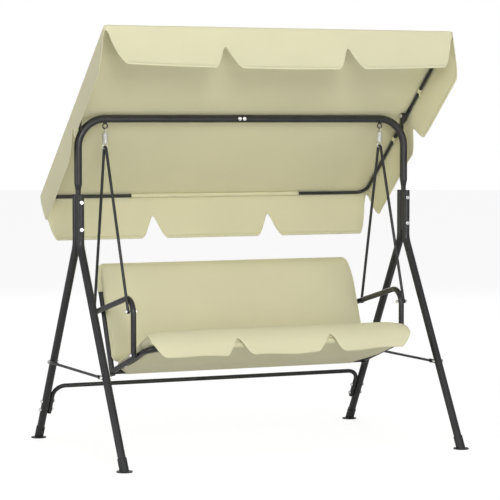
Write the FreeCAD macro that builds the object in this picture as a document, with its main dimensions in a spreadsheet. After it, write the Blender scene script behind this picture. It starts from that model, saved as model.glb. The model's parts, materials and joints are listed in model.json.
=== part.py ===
import FreeCAD, Part
import math
import operator
import os
import Sketcher
from FreeCAD import Placement, Rotation, Vector

# Canopy swing bench: a bolted tube frame, a padded bench hung from two springs, and a tilting fabric canopy.
# Millimetres. Origin on the ground midway between the four feet, +X to the right, -Y to the front, +Z up.

DRIVING_SIZES = {
    # main frame
    "main_radius": 17.5,
    "main_bore": 16.0,
    "beam_height": 1500,
    "beam_run": 688.5,
    "corner_radius": 130,
    "post_run": 160,
    "neck_half_x": 12.5,
    "neck_half_y": 8.4,
    "neck_taper": 28,
    "neck_length": 210,
    "leg_offset": 26,
    "leg_upper": 200,
    "leg_bend_radius": 90,
    "leg_splay": 30,
    "leg_lower": 1039,
    "leg_top": 1160,
    "cap_height": 3,
    "joiner_radius": 15.9,
    "joiner_bore": 14.2,
    "joiner_length": 130,
    # feet
    "foot_radius": 35,
    "foot_thickness": 5,
    "sleeve_radius": 20.5,
    "sleeve_bore": 17.7,
    "sleeve_length": 44,
    # braces
    "brace_radius": 6.35,
    "brace_bore": 5.2,
    "brace_tube": 620,
    "brace_tab_length": 58,
    "brace_tab_width": 18,
    "brace_tab_thickness": 3,
    "brace_height": 380,
    "stretcher_radius": 10,
    "stretcher_bore": 8.8,
    "stretcher_end": 99,
    "stretcher_bend": 55,
    "stretcher_run": 1471.6,
    "stretcher_foot": 126,
    # hanging gear
    "hang_x": 690,
    "eye_radius": 11,
    "eye_wire": 3,
    "eye_pin_radius": 3.3,
    "eye_pin_length": 9,
    "eye_weld_gap": 0.45,
    "eye_boss_width": 16,
    "eye_boss_height": 12,
    "wire_radius": 1.7,
    "coil_radius": 11.2,
    "coil_pitch": 4.4,
    "coil_height": 48.4,
    "loop_radius": 12,
    "hanger_radius": 6.5,
    "hanger_apex_radius": 14,
    "hanger_rear": 754,
    "hanger_front": 750,
    "hanger_turn": 148.9,
    "hanger_bore": 5.1,
    "hanger_tab_radius": 10,
    "hanger_tab_thickness": 9,
    # bench frame
    "seat_radius": 12.5,
    "seat_bore": 11.3,
    "rail_x": 638,
    "rail_start": 13.5,
    "rail_run": 399.9,
    "rail_bend": 70,
    "front_bar_run": 1136,
    "back_run": 455,
    "back_bend": 60,
    "back_bar_run": 1156,
    "back_foot": 15,
    "rear_bar_length": 1250.8,
    "arm_x": 663.2,
    "arm_run": 384,
    "arm_bend": 70,
    "arm_turn": 103,
    "arm_post": 186,
    # bench fabric
    "sleeve_inner": 13.0,
    "sleeve_outer": 14.6,
    "rear_sleeve_length": 1136,
    "front_sleeve_length": 1116,
    "sling_width": 1230,
    "sling_rear_edge": 14,
    "sling_depth": 455.4,
    "sling_corner": 62,
    "sling_thickness": 2,
    "pad_width": 1264,
    "back_pad_width": 1280,
    "seat_skirt_width": 1272,
    "seat_skirt_depth": 84,
    "seat_skirt_notch": 66,
    "seat_notch_x": 227.5,
    # canopy
    "rod_radius": 7.5,
    "rod_bore": 6.3,
    "rod_x": 837.5,
    "front_rod_run": 503,
    "rear_rod_run": 520,
    "rod_bend": 50,
    "rod_cross": 1575,
    "pivot_sleeve_radius": 9.5,
    "pivot_sleeve_bore": 7.7,
    "pivot_sleeve_length": 90,
    "lug_radius": 12,
    "lug_length": 10.4,
    "stud_hole": 4.3,
    "stud_hole_depth": 7.2,
    "roof_width": 1716,
    "roof_length": 1156,
    "cloth": 2,
    "skirt_depth": 165,
    "rear_skirt_depth": 200,
    "skirt_inset": 62,
    "skirt_notch": 78,
    "skirt_notch_x": 298,
    "tie_width": 22,
    "tie_radius": 9.2,
    "pocket_length": 870,
    "bracket_thickness": 5,
    "bracket_half_width": 13,
    "bracket_reach": 66,
    "knob_radius": 15,
    "knob_thickness": 12,
    "pivot_bolt_radius": 4,
    "pivot_head_width": 15,
    "pivot_head_height": 5.5,
    "stud_length": 25,
}

doc = FreeCAD.newDocument("canopy_swing_bench")
sheet = doc.addObject("Spreadsheet::Sheet", "sizes")
for row, (alias, amount) in enumerate(DRIVING_SIZES.items(), start=1):
    sheet.set(f"A{row}", alias)
    sheet.set(f"B{row}", str(amount))
    sheet.setAlias(f"B{row}", alias)
doc.recompute()

SIGNS = {"+": operator.add, "-": operator.sub, "*": operator.mul, "/": operator.truediv}


class Size:
    """A number together with the sheet formula that gives it."""

    def __init__(self, value, text):
        self.value = float(value)
        self.text = text

    def __add__(self, other):
        return join(self, "+", other)

    def __sub__(self, other):
        return join(self, "-", other)

    def __mul__(self, other):
        return join(self, "*", other)

    def __truediv__(self, other):
        return join(self, "/", other)

    def __neg__(self):
        return join(0, "-", self)


def join(first, sign, second):
    left = first if isinstance(first, Size) else Size(first, str(first))
    right = second if isinstance(second, Size) else Size(second, str(second))
    return Size(SIGNS[sign](left.value, right.value), f"({left.text} {sign} {right.text})")


def size(alias):
    return Size(DRIVING_SIZES[alias], f"sizes.{alias}")


def amount_of(alias):
    return float(DRIVING_SIZES[alias])


NODES = []


def node(obj, label):
    """Marks an object as one of the bench's pieces."""
    obj.Label = label
    NODES.append(obj)
    return obj


def placed(base, rotation=None):
    return Placement(Vector(*base), rotation or Rotation())


def turn(axis, degrees):
    return Rotation(Vector(*axis), degrees)


def facing(direction):
    return Rotation(Vector(0, 0, 1), Vector(*direction))


# ---------------------------------------------------------------- building blocks


def origin_plane(body, role):
    return next(item for item in body.Origin.OriginFeatures if item.Role == role)


def sketch_on(body, role, name):
    sketch = body.newObject("Sketcher::SketchObject", name)
    sketch.AttachmentSupport = [(origin_plane(body, role), "")]
    sketch.MapMode = "FlatFace"
    return sketch


def constrain(sketch, amount, kind, *picks):
    index = sketch.addConstraint(Sketcher.Constraint(kind, *picks, amount.value))
    sketch.setExpression(f"Constraints[{index}]", amount.text)


def ring_profile(body, outer, inner):
    sketch = sketch_on(body, "XY_Plane", body.Name + "_section")
    for radius in (outer, inner):
        circle = sketch.addGeometry(Part.Circle(Vector(0, 0, 0), Vector(0, 0, 1), radius.value))
        sketch.addConstraint(Sketcher.Constraint("Coincident", circle, 3, -1, 1))
        constrain(sketch, radius, "Radius", circle)
    return sketch


def walk(steps):
    """The points and headings of a planar path that starts at (0, 0) heading up."""
    point = Vector(0, 0, 0)
    heading = 90.0
    stations = [(point, heading)]
    for step in steps:
        angle = math.radians(heading)
        ahead = Vector(math.cos(angle), math.sin(angle), 0)
        if step[0] == "run":
            point = point + ahead * step[1].value
        else:
            radius, sweep, side = step[1].value, step[2].value, step[3]
            centre = point + Vector(-ahead.y, ahead.x, 0) * radius * side
            heading += side * sweep
            exit_angle = math.radians(heading)
            point = centre + Vector(math.sin(exit_angle), -math.cos(exit_angle), 0) * radius * side
        stations.append((point, heading))
    return stations


def path_sketch(body, steps):
    """A run is a line, and a bend is an arc tangent to its neighbours. Side 1 bends left, -1 bends right."""
    sketch = sketch_on(body, "XZ_Plane", body.Name + "_path")
    stations = walk(steps)
    last = None
    for index, step in enumerate(steps):
        (start, heading), (stop, _) = stations[index], stations[index + 1]
        if step[0] == "run":
            edge = sketch.addGeometry(Part.LineSegment(start, stop))
            first_end, last_end = 1, 2
            constrain(sketch, step[1], "Distance", edge)
        else:
            radius, sweep, side = step[1].value, step[2].value, step[3]
            angle = math.radians(heading)
            centre = start + Vector(-math.sin(angle), math.cos(angle), 0) * radius * side
            entry = angle - side * math.pi / 2
            leave = entry + side * math.radians(sweep)
            circle = Part.Circle(centre, Vector(0, 0, 1), radius)
            low, high = min(entry, leave), max(entry, leave)
            edge = sketch.addGeometry(Part.ArcOfCircle(circle, low, high))
            first_end, last_end = (1, 2) if side > 0 else (2, 1)
            constrain(sketch, step[1], "Radius", edge)
        if last is None:
            sketch.addConstraint(Sketcher.Constraint("Coincident", edge, first_end, -1, 1))
            sketch.addConstraint(Sketcher.Constraint("Vertical", edge))
        else:
            sketch.addConstraint(Sketcher.Constraint("Tangent", last[0], last[1], edge, first_end))
        if step[0] == "bend":
            turned = Size(math.radians(step[2].value), step[2].text + " * 1 deg")
            constrain(sketch, turned, "Angle", edge)
        last = (edge, last_end)
    return sketch


def bent_tube(name, steps, outer, inner, place):
    """A tube swept along a planar path that starts at its origin and heads up its own Z axis."""
    body = doc.addObject("PartDesign::Body", name)
    section = ring_profile(body, outer, inner)
    path = path_sketch(body, steps)
    doc.recompute()
    pipe = body.newObject("PartDesign::AdditivePipe", name + "_pipe")
    pipe.Profile = section
    pipe.Spine = (path, [f"Edge{index + 1}" for index in range(len(steps))])
    body.Placement = place
    return body


def padded_outline(name, corners, depth, place, role="XZ_Plane"):
    """A closed polygon, each corner a pair of sizes, padded evenly to both sides of its plane."""
    body = doc.addObject("PartDesign::Body", name)
    sketch = sketch_on(body, role, name + "_outline")
    count = len(corners)
    for index, (x, y) in enumerate(corners):
        after = corners[(index + 1) % count]
        sketch.addGeometry(
            Part.LineSegment(Vector(x.value, y.value, 0), Vector(after[0].value, after[1].value, 0))
        )
    for index, (x, y) in enumerate(corners):
        sketch.addConstraint(Sketcher.Constraint("Coincident", index, 2, (index + 1) % count, 1))
        constrain(sketch, x, "DistanceX", -1, 1, index, 1)
        constrain(sketch, y, "DistanceY", -1, 1, index, 1)
    pad = body.newObject("PartDesign::Pad", name + "_pad")
    pad.Profile = sketch
    pad.SideType = "Symmetric"
    pad.Length = depth.value
    pad.setExpression("Length", depth.text)
    body.Placement = place
    return body


def cylinder(name, radius, height, place):
    solid = doc.addObject("Part::Cylinder", name)
    solid.Placement = place
    solid.setExpression("Radius", radius.text)
    solid.setExpression("Height", height.text)
    return solid


def box(name, length, width, height, place):
    solid = doc.addObject("Part::Box", name)
    solid.Placement = place
    solid.setExpression("Length", length.text)
    solid.setExpression("Width", width.text)
    solid.setExpression("Height", height.text)
    return solid


def torus(name, ring_radius, wire_radius, place):
    solid = doc.addObject("Part::Torus", name)
    solid.Placement = place
    solid.setExpression("Radius1", ring_radius.text)
    solid.setExpression("Radius2", wire_radius.text)
    return solid


def hexagon(name, across_corners, height, place):
    solid = doc.addObject("Part::Prism", name)
    solid.Polygon = 6
    solid.Placement = place
    solid.setExpression("Circumradius", (across_corners / 2).text)
    solid.setExpression("Height", height.text)
    return solid


def fuse(name, shapes):
    joined = doc.addObject("Part::MultiFuse", name)
    joined.Shapes = shapes
    return joined


def cut(name, base, tool):
    remaining = doc.addObject("Part::Cut", name)
    remaining.Base = base
    remaining.Tool = tool
    return remaining


def group(label, solids):
    together = doc.addObject("Part::Compound", label)
    together.Links = solids
    return node(together, label)


def pipe_between(name, outer, inner, length, place):
    bore = cylinder(name + "_bore", inner, length + 2, place.multiply(placed((0, 0, -1))))
    return cut(name, cylinder(name + "_wall", outer, length, place), bore)


BOLT_SIZES = {"head": 13.0, "head_height": 5.3, "washer": 8.2, "washer_height": 1.6, "nut_height": 6.5}


def bolt(name, shank, grip, place):
    """A hex bolt whose head sits above its own origin and whose grip runs down to a nut."""
    grip_size = Size(grip, str(grip))
    head_height = Size(BOLT_SIZES["head_height"], str(BOLT_SIZES["head_height"]))
    washer_height = Size(BOLT_SIZES["washer_height"], str(BOLT_SIZES["washer_height"]))
    washer = Size(BOLT_SIZES["washer"], str(BOLT_SIZES["washer"]))
    corners = Size(BOLT_SIZES["head"], str(BOLT_SIZES["head"])) * 1.1547
    nut_height = Size(BOLT_SIZES["nut_height"], str(BOLT_SIZES["nut_height"]))
    shank_radius = Size(shank, str(shank))
    seat = washer_height.value
    parts = [
        hexagon(name + "_head", corners, head_height, place.multiply(placed((0, 0, seat)))),
        cylinder(name + "_washer", washer, washer_height, place),
        cylinder(name + "_shank", shank_radius, grip_size + 2, place.multiply(placed((0, 0, -grip - 1)))),
        hexagon(name + "_nut", corners, nut_height, place.multiply(placed((0, 0, -grip - nut_height.value)))),
    ]
    return fuse(name, parts)


SIDES = {"left": -1, "right": 1}
ENDS = {"front": -1, "rear": 1}
QUARTER = Size(90, "90")

# ---------------------------------------------------------------- main frame

MAIN_OUTER = size("main_radius")
MAIN_INNER = size("main_bore")
FRAME_X = amount_of("beam_run") + amount_of("corner_radius")
POST_END = amount_of("beam_height") - amount_of("corner_radius") - amount_of("post_run")
LEG_CENTRE_OUT = amount_of("leg_offset")
HALF_BEAM_GAP = 0.3
SPLAY = math.radians(amount_of("leg_splay"))


def beam_half(side_name, side):
    """Half the top beam, its corner and its post, swaged down to a flat neck between the leg tops."""
    steps = [
        ("run", size("beam_run") - HALF_BEAM_GAP),
        ("bend", size("corner_radius"), QUARTER, -side),
        ("run", size("post_run")),
    ]
    name = f"top_beam_{side_name}"
    outward = turn((0, 1, 0), 90 * side)
    place = placed((HALF_BEAM_GAP * side, 0, amount_of("beam_height")), outward)
    tube = bent_tube(name + "_tube", steps, MAIN_OUTER, MAIN_INNER, place)
    rim = doc.addObject("Part::Circle", name + "_rim")
    rim.setExpression("Radius", "sizes.main_radius")
    rim.Placement = placed((FRAME_X * side, 0, POST_END + 1))
    throat = doc.addObject("Part::Ellipse", name + "_throat")
    throat.setExpression("MajorRadius", "sizes.neck_half_x")
    throat.setExpression("MinorRadius", "sizes.neck_half_y")
    throat.Placement = placed((FRAME_X * side, 0, POST_END - amount_of("neck_taper")))
    taper = doc.addObject("Part::Loft", name + "_taper")
    taper.Sections = [rim, throat]
    taper.Solid = True
    neck = doc.addObject("Part::Extrusion", name + "_neck")
    neck.Base = throat
    neck.DirMode = "Custom"
    neck.Dir = Vector(0, 0, -1)
    neck.Solid = True
    neck.setExpression("LengthFwd", "sizes.neck_length")
    node(fuse(name, [tube, taper, neck]), name)


for side_name, side in SIDES.items():
    beam_half(side_name, side)

joiner_start = placed((-amount_of("joiner_length") / 2, 0, amount_of("beam_height")), facing((1, 0, 0)))
node(
    pipe_between("beam_joiner", size("joiner_radius"), size("joiner_bore"), size("joiner_length"), joiner_start),
    "beam_joiner",
)

for side_name, side in SIDES.items():
    for end_name, end in ENDS.items():
        steps = [
            ("run", size("leg_upper")),
            ("bend", size("leg_bend_radius"), size("leg_splay"), 1),
            ("run", size("leg_lower")),
        ]
        name = f"leg_{end_name}_{side_name}"
        # The path heads down from the leg's top, and its left-hand bend splays it outwards.
        downward = Rotation(Vector(0, -end, 0), Vector(end, 0, 0), Vector(0, 0, -1), "ZXY")
        place = placed((FRAME_X * side, end * LEG_CENTRE_OUT, amount_of("leg_top")), downward)
        node(bent_tube(name, steps, MAIN_OUTER, MAIN_INNER, place), name)

caps = []
for side_name, side in SIDES.items():
    for end_name, end in ENDS.items():
        top = placed((FRAME_X * side, end * LEG_CENTRE_OUT, amount_of("leg_top")))
        name = f"leg_cap_{end_name}_{side_name}"
        caps.append(cylinder(name, size("main_radius"), size("cap_height"), top))
group("leg_top_caps", caps)

# The leg's lower end, from its upper run, its bend and its splayed run.
leg_bend = amount_of("leg_bend_radius")
LEG_END_Y = (
    LEG_CENTRE_OUT + leg_bend * (1 - math.cos(SPLAY)) + amount_of("leg_lower") * math.sin(SPLAY)
)
LEG_END_Z = (
    amount_of("leg_top")
    - amount_of("leg_upper")
    - leg_bend * math.sin(SPLAY)
    - amount_of("leg_lower") * math.cos(SPLAY)
)
for side_name, side in SIDES.items():
    for end_name, end in ENDS.items():
        name = f"foot_{end_name}_{side_name}"
        up_leg = facing((0, -end * math.sin(SPLAY), math.cos(SPLAY)))
        leg_end = placed((FRAME_X * side, end * LEG_END_Y, LEG_END_Z), up_leg)
        ground_y = end * (LEG_END_Y + LEG_END_Z * math.tan(SPLAY))
        disc = cylinder(
            name + "_disc", size("foot_radius"), size("foot_thickness"), placed((FRAME_X * side, ground_y, 0))
        )
        sleeve = cylinder(
            name + "_sleeve",
            size("sleeve_radius"),
            size("sleeve_length") + 40,
            leg_end.multiply(placed((0, 0, -40))),
        )
        below = box(
            name + "_below",
            Size(200, "200"),
            Size(200, "200"),
            Size(100, "100"),
            placed((FRAME_X * side - 100, ground_y - 100, -100)),
        )
        bore = cylinder(
            name + "_bore", size("sleeve_bore"), size("sleeve_length") + 5, leg_end.multiply(placed((0, 0, -0.3)))
        )
        waste = fuse(name + "_waste", [below, bore])
        node(cut(name, fuse(name + "_blank", [disc, sleeve]), waste), name)

# ---------------------------------------------------------------- braces


def leg_out_at(height):
    """How far from the beam's plane a leg's centre line is at a height below its bend."""
    return LEG_END_Y - (height - LEG_END_Z) * math.tan(SPLAY)


brace_y = leg_out_at(amount_of("brace_height"))
tab_thickness = amount_of("brace_tab_thickness")
for side_name, side in SIDES.items():
    name = f"side_brace_{side_name}"
    # Both A-frames are the same part, so the brace is on the -X face of each.
    brace_x = FRAME_X * side - amount_of("main_radius") - 0.1 - tab_thickness / 2
    height = amount_of("brace_height")
    start = placed((brace_x, -amount_of("brace_tube") / 2, height), facing((0, 1, 0)))
    tube = cylinder(name + "_tube", size("brace_radius"), size("brace_tube"), start)
    tabs = []
    for end_name, end in ENDS.items():
        middle_y = end * (brace_y + 10 - amount_of("brace_tab_length") / 2)
        corner = placed(
            (
                brace_x - tab_thickness / 2,
                middle_y - amount_of("brace_tab_length") / 2,
                height - amount_of("brace_tab_width") / 2,
            )
        )
        tabs.append(
            box(
                f"{name}_{end_name}_tab",
                size("brace_tab_thickness"),
                size("brace_tab_length"),
                size("brace_tab_width"),
                corner,
            )
        )
    node(fuse(name, [tube] + tabs), name)

stretcher_steps = [
    ("run", size("stretcher_end")),
    ("bend", size("stretcher_bend"), QUARTER, -1),
    ("run", size("stretcher_run")),
    ("bend", size("stretcher_bend"), QUARTER, -1),
    ("run", size("stretcher_end")),
]
stretcher_place = placed(
    (-amount_of("stretcher_run") / 2 - amount_of("stretcher_bend"), leg_out_at(amount_of("stretcher_foot")),
     amount_of("stretcher_foot")),
    turn((1, 0, 0), amount_of("leg_splay")),
)
node(
    bent_tube(
        "rear_stretcher", stretcher_steps, size("stretcher_radius"), size("stretcher_bore"), stretcher_place
    ),
    "rear_stretcher",
)

# ---------------------------------------------------------------- frame bolts

M8 = 4
M6 = 3
BEAM_BOLTS_X = (-38.5, -15.5)
POST_BOLT_HEIGHTS = (1007, 1128)
STRETCHER_BOLT_HEIGHTS = (143, 185)
main_outer = amount_of("main_radius")

beam_bolts = []
for index, x in enumerate(BEAM_BOLTS_X):
    place = placed((x, -main_outer, amount_of("beam_height")), facing((0, -1, 0)))
    beam_bolts.append(bolt(f"beam_bolt_{index}", M6, 2 * main_outer, place))
group("beam_bolts", beam_bolts)

post_bolts = []
for side_name, side in SIDES.items():
    for height in POST_BOLT_HEIGHTS:
        front = LEG_CENTRE_OUT + main_outer
        place = placed((FRAME_X * side, -front, height), facing((0, -1, 0)))
        post_bolts.append(bolt(f"post_bolt_{side_name}_{height}", M8, 2 * front, place))
group("post_bolts", post_bolts)

brace_bolts = []
for side_name, side in SIDES.items():
    outer_face = FRAME_X + main_outer + (tab_thickness + 0.1 if side < 0 else 0)
    grip = 2 * main_outer + tab_thickness + 0.1
    for end_name, end in ENDS.items():
        place = placed((side * outer_face, end * brace_y, amount_of("brace_height")), facing((side, 0, 0)))
        brace_bolts.append(bolt(f"brace_bolt_{side_name}_{end_name}", M6, grip, place))
group("brace_bolts", brace_bolts)

stretcher_bolts = []
for side_name, side in SIDES.items():
    for height in STRETCHER_BOLT_HEIGHTS:
        place = placed((side * (FRAME_X + main_outer), leg_out_at(height), height), facing((side, 0, 0)))
        grip = 2 * main_outer + 2 * amount_of("stretcher_radius") + 0.1
        stretcher_bolts.append(bolt(f"stretcher_bolt_{side_name}_{height}", M6, grip, place))
group("stretcher_bolts", stretcher_bolts)

# ---------------------------------------------------------------- hanging eyes and springs

HANG_X = amount_of("hang_x")
EYE_Z = amount_of("beam_height") - main_outer - amount_of("eye_radius") - amount_of("eye_wire") - 1
EYE_BOTTOM_Z = EYE_Z - amount_of("eye_radius")
TOP_LOOP_Z = (
    EYE_BOTTOM_Z + amount_of("eye_pin_radius") + amount_of("wire_radius") + 0.1 - amount_of("loop_radius")
)
COIL_TOP_Z = TOP_LOOP_Z - amount_of("loop_radius")
COIL_BOTTOM_Z = COIL_TOP_Z - amount_of("coil_height")
LOW_LOOP_Z = COIL_BOTTOM_Z - amount_of("loop_radius")
APEX_Z = LOW_LOOP_Z - amount_of("loop_radius") + amount_of("wire_radius") + amount_of("hanger_radius") + 0.1
ALONG_Y = facing((0, 1, 0))
ALONG_X = facing((1, 0, 0))

for side_name, side in SIDES.items():
    name = f"hanging_eye_{side_name}"
    ring = torus(name + "_ring", size("eye_radius"), size("eye_wire"), placed((side * HANG_X, 0, EYE_Z), ALONG_Y))
    pin_start = placed((side * HANG_X - amount_of("eye_pin_length") / 2, 0, EYE_BOTTOM_Z), ALONG_X)
    pin = cylinder(name + "_pin", size("eye_pin_radius"), size("eye_pin_length"), pin_start)
    half = amount_of("eye_boss_width") / 2
    boss_low = EYE_Z + amount_of("eye_radius") - 1
    boss = box(
        name + "_boss",
        size("eye_boss_width"),
        size("eye_boss_width") / 2,
        size("eye_boss_height"),
        placed((side * HANG_X - half, -half / 2, boss_low)),
    )
    beam_space = cylinder(
        name + "_beam_space",
        size("main_radius") + size("eye_weld_gap"),
        Size(60, "60"),
        placed((side * HANG_X - 30, 0, amount_of("beam_height")), ALONG_X),
    )
    node(cut(name, fuse(name + "_blank", [ring, pin, boss]), beam_space), name)

for side_name, side in SIDES.items():
    name = f"spring_{side_name}"
    centre = Vector(side * HANG_X, 0, COIL_BOTTOM_Z)
    helix = doc.addObject("Part::Helix", name + "_helix")
    helix.setExpression("Radius", "sizes.coil_radius")
    helix.setExpression("Pitch", "sizes.coil_pitch")
    helix.setExpression("Height", "sizes.coil_height")
    wire = doc.addObject("Part::Circle", name + "_wire")
    wire.setExpression("Radius", "sizes.wire_radius")
    wire.Placement = placed((amount_of("coil_radius"), 0, 0), turn((1, 0, 0), 90))
    coil = doc.addObject("Part::Sweep", name + "_coil")
    coil.Sections = [wire]
    coil.Spine = (helix, [])
    coil.Solid = True
    coil.Frenet = True
    top_loop = torus(
        name + "_top_loop",
        size("loop_radius"),
        size("wire_radius"),
        placed((0, 0, amount_of("coil_height") + amount_of("loop_radius")), ALONG_X),
    )
    low_loop = torus(
        name + "_low_loop", size("loop_radius"), size("wire_radius"), placed((0, 0, -amount_of("loop_radius")), ALONG_Y)
    )
    bridge_low = box(
        name + "_low_bridge",
        size("loop_radius") * 2,
        size("wire_radius") * 2,
        size("wire_radius") * 2,
        placed((-amount_of("loop_radius"), -amount_of("wire_radius"), -amount_of("wire_radius"))),
    )
    bridge_top = box(
        name + "_top_bridge",
        size("loop_radius") * 2,
        size("wire_radius") * 2,
        size("wire_radius") * 2,
        placed(
            (-amount_of("loop_radius"), -amount_of("wire_radius"), amount_of("coil_height") - amount_of("wire_radius"))
        ),
    )
    spring = fuse(name, [coil, top_loop, low_loop, bridge_low, bridge_top])
    spring.Placement = Placement(centre, Rotation())
    node(spring, name)

# ---------------------------------------------------------------- bench frame

SEAT_OUTER = size("seat_radius")
SEAT_INNER = size("seat_bore")
CORNER_Y = 60
CORNER_Z = 356
SEAT_SLOPE = 17.9
BACK_RECLINE = 21.8
SEAT_FRAME = placed((0, CORNER_Y, CORNER_Z), turn((1, 0, 0), -SEAT_SLOPE))
BACK_FRAME = placed((0, CORNER_Y, CORNER_Z), turn((1, 0, 0), -BACK_RECLINE))
FRONT_BAR_REACH = amount_of("rail_start") + amount_of("rail_run") + amount_of("rail_bend")
BACK_BAR_REACH = amount_of("back_run") + amount_of("back_bend") - amount_of("back_foot")

seat_steps = [
    ("run", size("rail_run")),
    ("bend", size("rail_bend"), QUARTER, -1),
    ("run", size("front_bar_run")),
    ("bend", size("rail_bend"), QUARTER, -1),
    ("run", size("rail_run")),
]
forward = turn((1, 0, 0), 90)
rail_start = placed((-amount_of("rail_x"), -amount_of("rail_start"), 0), forward)
node(
    bent_tube("seat_frame", seat_steps, SEAT_OUTER, SEAT_INNER, SEAT_FRAME.multiply(rail_start)), "seat_frame"
)

back_steps = [
    ("run", size("back_run")),
    ("bend", size("back_bend"), QUARTER, -1),
    ("run", size("back_bar_run")),
    ("bend", size("back_bend"), QUARTER, -1),
    ("run", size("back_run")),
]
back_start = placed((-amount_of("rail_x"), 0, -amount_of("back_foot")))
node(
    bent_tube("back_frame", back_steps, SEAT_OUTER, SEAT_INNER, BACK_FRAME.multiply(back_start)), "back_frame"
)

rear_bar_start = placed((-amount_of("rear_bar_length") / 2, CORNER_Y, CORNER_Z), ALONG_X)
node(
    pipe_between("seat_rear_bar", SEAT_OUTER, SEAT_INNER, size("rear_bar_length"), rear_bar_start),
    "seat_rear_bar",
)

end_caps = []
for side_name, side in SIDES.items():
    foot = placed((side * amount_of("rail_x"), 0, -amount_of("back_foot") - 3))
    end_caps.append(cylinder(f"frame_end_cap_{side_name}", SEAT_OUTER, Size(3, "3"), BACK_FRAME.multiply(foot)))
group("back_frame_caps", end_caps)

ARM_REAR_Y = 185
ARM_REAR_Z = 621
ARM_SLOPE = 13
arm_steps = [
    ("run", size("arm_run")),
    ("bend", size("arm_bend"), size("arm_turn"), 1),
    ("run", size("arm_post")),
]


def in_side_plane(heading_y, heading_z):
    """Maps a path's own up to a heading in the Y-Z plane, so that its left-hand bends turn to the front and down."""
    ahead = Vector(0, heading_y, heading_z).normalize()
    left = Vector(1, 0, 0).cross(ahead)
    return Rotation(-left, ahead.cross(-left), ahead, "ZXY")


arm_heading = (-math.cos(math.radians(ARM_SLOPE)), math.sin(math.radians(ARM_SLOPE)))
for side_name, side in SIDES.items():
    name = f"armrest_{side_name}"
    place = placed((side * amount_of("arm_x"), ARM_REAR_Y, ARM_REAR_Z), in_side_plane(*arm_heading))
    node(bent_tube(name, arm_steps, SEAT_OUTER, SEAT_INNER, place), name)

REAR_STRAND_LEAN = 11.8
hanger_steps = [
    ("run", size("hanger_rear")),
    ("bend", size("hanger_apex_radius"), size("hanger_turn"), 1),
    ("run", size("hanger_front")),
]
hanger_heading = (-math.sin(math.radians(REAR_STRAND_LEAN)), math.cos(math.radians(REAR_STRAND_LEAN)))
hanger_stations = walk(hanger_steps)
HANGER_TILT = 0.57


def hanger_local(point):
    """A point of the hanger's path in its own vertical plane: Y, Z from the apex's own level."""
    along = Vector(0, *hanger_heading)
    left = Vector(1, 0, 0).cross(along)
    return along * point.y - left * point.x


hanger_apex_entry = hanger_local(hanger_stations[1][0])
hanger_foot = hanger_local(hanger_stations[3][0])
apex_centre = hanger_local(hanger_stations[1][0] - Vector(amount_of("hanger_apex_radius"), 0, 0))
HANGER_START = Vector(0, -apex_centre.y, APEX_Z - apex_centre.z - amount_of("hanger_apex_radius"))
HANGER_REAR = HANGER_START
HANGER_FRONT = HANGER_START + hanger_foot

for side_name, side in SIDES.items():
    name = f"hanger_{side_name}"
    rod_place = Placement(HANGER_START, in_side_plane(*hanger_heading))
    lean = Placement(Vector(side * HANG_X, 0, 0), turn((0, 1, 0), side * HANGER_TILT), Vector(0, 0, APEX_Z))
    rod = bent_tube(name + "_rod", hanger_steps, size("hanger_radius"), size("hanger_bore"), lean.multiply(rod_place))
    tabs = []
    for end_name, spot in (("rear", HANGER_REAR), ("front", HANGER_FRONT)):
        tab_start = Placement(spot - Vector(amount_of("hanger_tab_thickness") / 2, 0, 0), ALONG_X)
        tabs.append(
            cylinder(
                f"{name}_{end_name}_tab",
                size("hanger_tab_radius"),
                size("hanger_tab_thickness"),
                lean.multiply(tab_start),
            )
        )
    node(fuse(name, [rod] + tabs), name)

bench_bolts = []
arm_outer = amount_of("arm_x") + amount_of("seat_radius")
hanger_outer = arm_outer + 2 * amount_of("hanger_radius") + 1.2
rail_inner = amount_of("rail_x") - amount_of("seat_radius")
arm_inner = amount_of("arm_x") - amount_of("seat_radius")
POST_Y = -275
spots = (
    ("rear", HANGER_REAR.y, HANGER_REAR.z, hanger_outer, rail_inner),
    ("front", HANGER_FRONT.y, HANGER_FRONT.z, hanger_outer, arm_inner),
    ("post", POST_Y, CORNER_Z + (CORNER_Y - POST_Y) * math.tan(math.radians(SEAT_SLOPE)), arm_outer, rail_inner),
)
for side_name, side in SIDES.items():
    for spot_name, y, z, outer_face, inner_face in spots:
        place = placed((side * outer_face, y, z), facing((side, 0, 0)))
        bench_bolts.append(bolt(f"bench_bolt_{spot_name}_{side_name}", M6, outer_face - inner_face, place))
group("bench_bolts", bench_bolts)

# ---------------------------------------------------------------- bench fabric


def fixed(x, y):
    return (Size(x, str(x)), Size(y, str(y)))


def bar_sleeve(name, length, reach):
    start = SEAT_FRAME.multiply(placed((-length.value / 2, -reach, 0), ALONG_X))
    return cylinder(name + "_outer", size("sleeve_outer"), length, start), cylinder(
        name + "_inner", size("sleeve_inner"), length + 2, start.multiply(placed((0, 0, -1)))
    )


rear_outer, rear_inner = bar_sleeve("rear_sleeve", size("rear_sleeve_length"), 0)
front_outer, front_inner = bar_sleeve("front_sleeve", size("front_sleeve_length"), FRONT_BAR_REACH)
sling_rear = size("sling_rear_edge")
sling_front = size("sling_rear_edge") + size("sling_depth")
sling_corner = size("sling_corner")
half_sling = size("sling_width") / 2
sling_corners = [
    (-half_sling, -sling_rear),
    (-half_sling, -sling_front + sling_corner),
    (-half_sling + sling_corner, -sling_front),
    (half_sling - sling_corner, -sling_front),
    (half_sling, -sling_front + sling_corner),
    (half_sling, -sling_rear),
]
sling_slab = padded_outline("seat_sling_slab", sling_corners, size("sling_thickness"), SEAT_FRAME, "XY_Plane")
sling_blank = fuse("seat_sling_blank", [rear_outer, front_outer, sling_slab])
sling_waste = fuse("seat_sling_waste", [rear_inner, front_inner])
node(cut("seat_sling", sling_blank, sling_waste), "seat_sling")

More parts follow.
